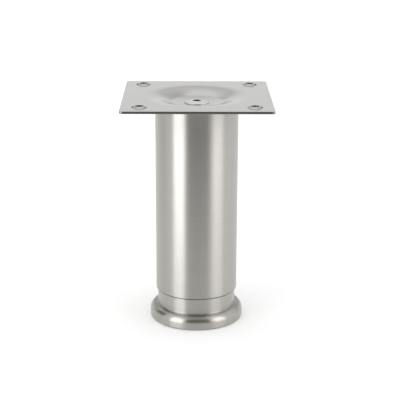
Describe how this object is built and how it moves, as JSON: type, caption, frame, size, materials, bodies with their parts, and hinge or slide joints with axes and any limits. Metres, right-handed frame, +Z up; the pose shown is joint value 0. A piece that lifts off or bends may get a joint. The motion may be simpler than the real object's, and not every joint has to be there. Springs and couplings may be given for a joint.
{
  "type": "adjustable cabinet leg",
  "caption": "Round brushed steel cabinet leg with a square dished mounting plate and a turned foot that screws in and out of the tube to set the height.",
  "frame": {"origin": "centre of the glide pad's floor face", "axes": "+Z up the leg's axis, from the floor to the mounting plate; +X and +Y along the plate's sides"},
  "size_m": [0.088, 0.088, 0.1408],
  "materials": {
    "pressed_plate": "satin sheet",
    "brushed_tube": "brushed around the tube",
    "turned_foot": "fine turned",
    "plated_steel": "zinc plated",
    "plug_plastic": "moulded",
    "pad_plastic": "moulded"
  },
  "bodies": {
    "leg": {"mounting_plate": "pressed_plate", "plate_screw": "plated_steel", "top_plug": "plug_plastic", "tube": "brushed_tube", "thread_guide": "plug_plastic"},
    "glide": {"glide_pad": "pad_plastic"},
    "foot": {"foot": "turned_foot", "adjusting_bolt": "plated_steel", "bolt_nut": "plated_steel"}
  },
  "joints": [
    {"name": "foot_height", "type": "slide", "parent": "leg", "child": "glide", "axis": [0, 0, -1], "range_m": [-0.0095, 0.0105]},
    {"name": "foot_turn", "type": "hinge", "parent": "glide", "child": "foot", "pos_m": [0, 0, 0], "axis": [0, 0, -1], "range_deg": [-2279.9, 2519.9]}
  ],
  "couplings": [
    {"joint": "foot_height", "follows": "foot_turn", "m_per_rad": 0.00023873}
  ]
}
